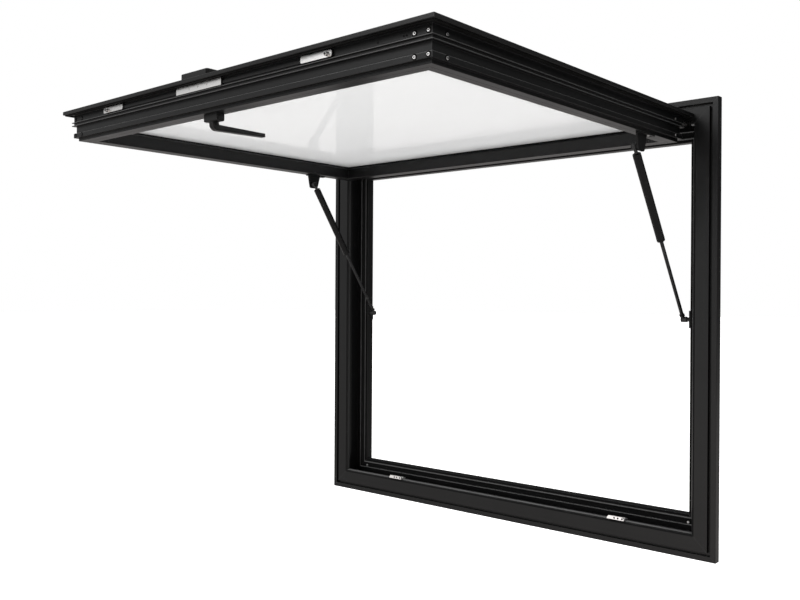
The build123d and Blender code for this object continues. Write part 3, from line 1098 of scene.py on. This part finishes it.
@dataclass
class SashAssembly(SubAssembly):
    """The sash bars, beads, seals and strut brackets, with the screws of its corner joints."""

    wall_in: float = 0.0176
    foot_in: float = 0.0171
    near_corner: float = 0.0244
    far_corner: float = 0.0514
    stile_corner: float = 0.0525
    upper_screw: float = 0.0180
    lower_screw: float = 0.0535
    drill_places: tuple[float, ...] = (0.409, 0.462, 0.468)
    bracket_screw_reach: float = 0.026
    bracket_screw_side: float = 0.0048
    bracket_plate: float = 0.0025

    def dress(self) -> None:
        """Put the finishes on."""
        for name in BAR_NAMES:
            self.wardrobe.dress(FinishKind.SASH_COAT, "sash_" + name, "bead_" + name)
        self.wardrobe.dress(FinishKind.SASH_COAT, "sash_leaf")
        self.wardrobe.dress(FinishKind.SEAL, "flange_seal", "outer_glazing_seal", "inner_glazing_seal")
        self.wardrobe.dress(FinishKind.BRACKET, "left_sash_bracket", "right_sash_bracket")

    def corner_spots(self) -> list[Spot]:
        """Screws of the four corner joints, on the channel wall and on the foot.

        Returns:
            The spots.
        """
        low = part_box("sash_bottom_rail")[0]
        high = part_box("sash_hinge_rail")[1]
        spots = []
        for inset, down in ((self.wall_in, self.upper_screw), (self.foot_in, self.lower_screw)):
            z = high.z - down
            for way in BOTH_WAYS:
                for reach in (self.near_corner, self.far_corner):
                    x = way * (high.x - reach)
                    spots.append(Spot(Vector((x, low.y + inset, z)), FRONT))
                    if inset == self.foot_in:
                        spots.append(Spot(Vector((x, high.y - inset, z)), BACK))
                for y in (low.y + self.stile_corner, high.y - self.stile_corner):
                    spots.append(Spot(Vector((way * (high.x - inset), y, z)), Vector((way, 0, 0))))
        return spots

    def build(self) -> None:
        """Add the corner screws with painted shadow round them and painted shade in their sockets, dark
        discs of painted shade at the drill holes, and the bracket screws.
        """
        spots = self.corner_spots()
        rise = HeadKind.CORNER.value.height
        tops = [Spot(spot.place + spot.out * rise, spot.out) for spot in spots]
        # lit and shaded copies of one screw: the right half's corner screws take bright steel, the left
        # half's dark steel as painted shade
        bright = [spot for spot in spots if spot.place.x > 0]
        dark = [spot for spot in spots if spot.place.x < 0]
        # painted shadow: dark discs round the corner screw heads
        self.fix("sash_corner_shadow_discs", spots, HeadKind.SHADOW_DISC, FinishKind.SEAL, "sash")
        self.fix("sash_corner_screws", bright, HeadKind.CORNER, FinishKind.BRIGHT, "sash")
        self.fix("sash_dark_screws", dark, HeadKind.CORNER, FinishKind.ROD, "sash")
        # painted shade: dark discs on the screw tops for the shade in their sockets
        self.fix("sash_corner_socket_shades", tops, HeadKind.SOCKET_SHADE, FinishKind.SEAL, "sash")
        low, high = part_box("sash_bottom_rail")
        y, z = low.y + self.wall_in, high.z - self.upper_screw
        # painted shade: dark discs on the rail wall for the shade in drilled holes
        marks = [Spot(Vector((x, y, z)), FRONT) for x in self.drill_places]
        self.fix("sash_drill_hole_shades", marks, HeadKind.BORE_SHADE, FinishKind.SEAL, "sash")
        spots = []
        for side, inward in INWARD.items():
            low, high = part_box(side + "_sash_bracket")
            x = (low.x if side == "left" else high.x) + inward * self.bracket_screw_side
            place = Vector((x, high.y - self.bracket_screw_reach, high.z - self.bracket_plate))
            spots.append(Spot(place, DOWN))
        self.fix("sash_bracket_screws", spots, HeadKind.PLATE, FinishKind.BRIGHT, "sash")


@dataclass
class GlassUnit(SubAssembly):
    """Two panes and the spacer bar between them."""

    def dress(self) -> None:
        """Put the finishes on."""
        self.wardrobe.dress(FinishKind.GLASS, "inner_pane")
        self.wardrobe.dress(FinishKind.OUTER_GLASS, "outer_pane")
        self.wardrobe.dress(FinishKind.SPACER, "glass_spacer")


@dataclass
class LockSet(SubAssembly):
    """The faceplate, sliding bar, roller plates and rollers on the bottom rail."""

    dimple_step: float = 0.028
    dimple_deep: float = 0.0008

    def dress(self) -> None:
        """Put the finishes on."""
        self.wardrobe.dress(FinishKind.BRIGHT, "lock_faceplate")
        self.wardrobe.dress(FinishKind.BRACKET, "lock_bar")
        for side in SIDES:
            self.wardrobe.dress(FinishKind.BRIGHT, side + "_cam_plate", side + "_roller")

    def build(self) -> None:
        """Add the faceplate screws and roller axles."""
        low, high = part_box("lock_faceplate")
        middle = (low + high) / 2
        y = low.y + self.dimple_deep
        spots = [Spot(Vector((middle.x + i * self.dimple_step, y, middle.z)), FRONT) for i in (-1, 0, 1)]
        self.fix("faceplate_screws", spots, HeadKind.SMALL, FinishKind.BRIGHT, "sash")
        axles = []
        for side in SIDES:
            low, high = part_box(side + "_roller")
            middle = (low + high) / 2
            axles.append(Spot(Vector((middle.x, low.y, middle.z)), FRONT))
        self.fix("roller_axles", axles, HeadKind.AXLE, FinishKind.ROD, "lock_slide")


@dataclass
class HandleSet(SubAssembly):
    """The lever handle inside and the pull outside."""

    def dress(self) -> None:
        """Put the finishes on."""
        self.wardrobe.dress(FinishKind.HANDLE, "handle_base", "handle_lever", "outer_pull")


@dataclass
class GasStrut(SubAssembly):
    """One gas strut: tube, rod and eyes, with its wiper, crimp and lock nut."""

    side: str = "left"
    tube_end: float = 0.230
    tube_radius: float = 0.009
    rod_radius: float = 0.004
    ring_sides: int = 40
    wiper_gap: float = 0.0004
    wiper_seat: float = 0.0002
    wiper_lip: float = 0.0014
    wiper_tip: tuple[float, float] = (0.0052, -0.0017)
    wiper_rim: tuple[float, float] = (0.0060, -0.0008)
    crimps: tuple[float, ...] = (0.007, 0.204)
    crimp_root: float = 0.0004
    crimp_rise: float = 0.00025
    crimp_steps: tuple[float, float, float] = (0.0006, 0.0016, 0.0022)
    nut_sides: int = 6
    nut_gap: float = 0.0001
    nut_long: float = 0.0038
    nut_radius: float = 0.0066

    def dress(self) -> None:
        """Put the finishes on."""
        self.wardrobe.dress(FinishKind.TUBE, self.side + "_strut_tube")
        self.wardrobe.dress(FinishKind.ROD, self.side + "_strut_rod")
        self.wardrobe.dress(FinishKind.FITTING, self.side + "_tube_eye", self.side + "_rod_eye")

    def wiper(self) -> Outline:
        """Outline of the wiper ring at the tube's mouth, from the mouth along the tube."""
        bore, seat, rim = self.rod_radius + self.wiper_gap, self.wiper_seat, self.wiper_rim
        return [(bore, seat), (bore, -self.wiper_lip), self.wiper_tip, rim, (rim[0], seat)]

    def crimp(self, at: float) -> Outline:
        """Outline of a rolled crimp that starts at a distance from the tube's mouth.

        Args:
            at: the distance.

        Returns:
            The outline's corners.
        """
        root, crest = self.tube_radius - self.crimp_root, self.tube_radius + self.crimp_rise
        rise, fall, end = (at + step for step in self.crimp_steps)
        return [(root, at), (crest, rise), (crest, fall), (root, end)]

    def nut(self) -> Outline:
        """Outline of the lock nut from the rod's foot."""
        bore, outer = self.rod_radius + self.nut_gap, self.nut_radius
        return [(bore, 0.0), (outer, 0.0), (outer, self.nut_long), (bore, self.nut_long)]

    def build(self) -> None:
        """Add the wiper ring, the rolled crimps and the lock nut."""
        joints = {joint["name"]: joint for joint in frame["joints"]}
        head = Vector(joints[self.side + "_strut_swing"]["pos_m"])
        axis = Vector(joints[self.side + "_strut_slide"]["axis"]).normalized()
        mouth = head - axis * self.tube_end
        name = self.side + "_wiper"
        mesh = turned_mesh(name, self.wiper(), mouth, axis, self.ring_sides)
        self.wardrobe.add(name, mesh, FinishKind.SEAL, self.side + "_tube")
        for i, at in enumerate(self.crimps):
            name = f"{self.side}_crimp_{i + 1}"
            mesh = turned_mesh(name, self.crimp(at), mouth, axis, self.ring_sides)
            self.wardrobe.add(name, mesh, FinishKind.TUBE, self.side + "_tube")
        rod_low, rod_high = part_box(self.side + "_strut_rod")
        reach = (head - Vector((head.x, rod_high.y, rod_low.z))).length
        name = self.side + "_lock_nut"
        mesh = turned_mesh(name, self.nut(), head - axis * reach, axis, self.nut_sides)
        self.wardrobe.add(name, mesh, FinishKind.ROD, self.side + "_rod")


@dataclass
class SoftBox:
    """One soft rectangular light."""

    name: str
    place: tuple[float, float, float]
    aim: tuple[float, float, float]
    wide: float
    tall: float
    power: float
    colour: tuple[float, float, float] = (1.0, 1.0, 1.0)

    def build(self) -> None:
        """Hang the light."""
        lamp = bpy.data.lights.new(self.name, "AREA")
        lamp.shape = "RECTANGLE"
        lamp.size = self.wide
        lamp.size_y = self.tall
        lamp.energy = self.power
        lamp.color = self.colour
        hung = bpy.data.objects.new(self.name, lamp)
        hung.location = self.place
        hung.rotation_euler = (Vector(self.aim) - Vector(self.place)).to_track_quat("-Z", "Y").to_euler()
        bpy.context.scene.collection.objects.link(hung)


@dataclass(frozen=True)
class Lobe:
    """A soft patch of light in the surroundings: where it lies, how wide it is and how bright."""

    aim: tuple[float, float, float]
    edge: float
    full: float
    bright: float

    def share(self, graph: Graph, way: bpy.types.NodeSocket) -> Signal:
        """How much of the patch is seen along a direction.

        Args:
            graph: the world's node tree.
            way: the direction.

        Returns:
            A share, from 0 past the patch's edge to 1 where it is full.
        """
        sockets = {0: way, 1: tuple(Vector(self.aim).normalized())}
        dot = graph.value("ShaderNodeVectorMath", {"operation": "DOT_PRODUCT"}, sockets, "Value")
        return dot.ease(self.edge, self.full)


@dataclass
class Studio:
    """The pale floor, the soft light and the camera at the photograph's angle."""

    floor_down: float = -0.62
    floor_half: float = 60.0
    floor_glow: float = 0.90
    floor_colours: tuple[Colour, Colour] = (grey(0.86), grey(0.9))
    floor_cloud: float = 0.8
    floor_roughness: float = 0.9
    back_glow: float = 1.0
    dim: float = 0.05
    lobes: list[Lobe] = field(default_factory=lambda: [
        Lobe((-0.30, -0.95, 0.08), 0.80, 1.00, 1.65),
        Lobe((-0.88, -0.38, 0.30), 0.80, 1.00, 0.55),
        Lobe((0.45, 0.25, 0.86), 0.62, 1.00, 1.60),
        Lobe((-0.60, -0.25, 0.77), 0.80, 1.00, 0.80),
        Lobe((0.70, -0.70, 0.10), 0.85, 1.00, 0.40),
    ])
    underglow: Lobe = Lobe((0.00, 0.00, -1.00), 0.00, 0.20, 0.55)
    underglow_colour: Colour = (1.0, 0.955, 0.935, 1.0)
    camera_place: tuple[float, float, float] = (1.335143, -1.908088, 0.565214)
    focal_pixels: float = 880.523
    picture_wide: float = 800.0
    sensor: float = 36.0
    nearest: float = 0.01
    yaw: float = 41.341
    pitch: float = -0.115
    roll: float = 0.338
    boxes: list[SoftBox] = field(default_factory=lambda: [
        SoftBox("key", (-0.9, -3.2, 2.8), (0.0, -0.3, 0.6), 2.0, 1.2, 60.0),
        SoftBox("top", (0.8, 0.2, 3.4), (0.0, -0.3, 0.8), 1.6, 0.8, 55.0),
        SoftBox("side", (3.2, 0.6, 1.9), (0.5, -0.3, 0.8), 0.5, 1.6, 3.0),
        SoftBox("bounce", (0.5, -2.6, -0.5), (0.0, -0.6, 0.9), 1.0, 0.6, 6.0, (1.0, 0.84, 0.72)),
    ])

    def build(self) -> None:
        """Set up floor, light and camera."""
        self.build_floor()
        self.build_world()
        for box in self.boxes:
            box.build()
        self.build_camera()
        bpy.context.scene.view_settings.view_transform = "Standard"

    def build_floor(self) -> None:
        """Lay a plain pale floor well below the window."""
        half, z = self.floor_half, self.floor_down
        mesh = bpy.data.meshes.new("floor")
        corners = [(-half, -half, z), (half, -half, z), (half, half, z), (-half, half, z)]
        mesh.from_pydata(corners, [], [(0, 1, 2, 3)])
        graph = ShaderGraph("pale floor")
        cloud = graph.noise(self.floor_cloud, 3.0)
        sockets = {
            "Base Color": graph.blend(cloud, *self.floor_colours),
            "Roughness": self.floor_roughness,
            "Emission Color": grey(1.0),
            "Emission Strength": self.floor_glow,
            "Specular IOR Level": 0.0,
        }
        mesh.materials.append(graph.surface(sockets))
        floor = bpy.data.objects.new("floor", mesh)
        floor.visible_glossy = False
        bpy.context.scene.collection.objects.link(floor)

    def build_world(self) -> None:
        """White behind the window, and a soft light that is stronger from the front left."""
        world = bpy.data.worlds.new("studio")
        bpy.context.scene.world = world
        world.use_nodes = True
        graph = Graph(world.node_tree)
        graph.tree.nodes.clear()
        way = graph.node("ShaderNodeTexCoord").outputs["Generated"]
        level = self.dim
        for lobe in self.lobes:
            level = lobe.share(graph, way) * lobe.bright + level
        below = self.underglow.share(graph, way)
        tint = graph.blend(below, grey(1.0), self.underglow_colour)
        level = below * self.underglow.bright + level
        soft = graph.node("ShaderNodeBackground", None, {"Color": tint, "Strength": level})
        plain = graph.node("ShaderNodeBackground", None, {"Color": grey(1.0), "Strength": self.back_glow})
        seen = graph.node("ShaderNodeLightPath").outputs["Is Camera Ray"]
        mixed = graph.node("ShaderNodeMixShader", None, {0: seen, 1: soft.outputs[0], 2: plain.outputs[0]})
        output = graph.node("ShaderNodeOutputWorld")
        graph.tree.links.new(mixed.outputs[0], output.inputs["Surface"])

    def build_camera(self) -> None:
        """Stand the camera where the photograph was taken from."""
        lens = bpy.data.cameras.new("camera")
        lens.sensor_width = self.sensor
        lens.sensor_fit = "HORIZONTAL"
        lens.lens = self.focal_pixels / self.picture_wide * self.sensor
        lens.clip_start = self.nearest
        yaw, pitch, roll = (math.radians(angle) for angle in (self.yaw, self.pitch, self.roll))
        ahead = Vector((-math.sin(yaw) * math.cos(pitch), math.cos(yaw) * math.cos(pitch), math.sin(pitch)))
        level = Vector((math.cos(yaw), math.sin(yaw), 0.0))
        up = level.cross(ahead)
        right = level * math.cos(roll) + up * math.sin(roll)
        up = up * math.cos(roll) - level * math.sin(roll)
        turn = Matrix((right, up, -ahead)).transposed().to_4x4()
        camera = bpy.data.objects.new("camera", lens)
        camera.matrix_world = Matrix.Translation(self.camera_place) @ turn
        bpy.context.scene.collection.objects.link(camera)
        bpy.context.scene.camera = camera


def main() -> None:
    """Build every sub-assembly, then the studio."""
    logging.basicConfig(level=logging.INFO, format="%(message)s")
    wardrobe = Wardrobe()
    heads = HeadField()
    groups = [
        FrameAssembly(wardrobe, heads),
        SashAssembly(wardrobe, heads),
        GlassUnit(wardrobe, heads),
        LockSet(wardrobe, heads),
        HandleSet(wardrobe, heads),
        *(GasStrut(wardrobe, heads, side) for side in SIDES),
    ]
    for group in groups:
        group.dress()
        group.build()
    Studio().build()


if __name__ == "__main__":
    main()
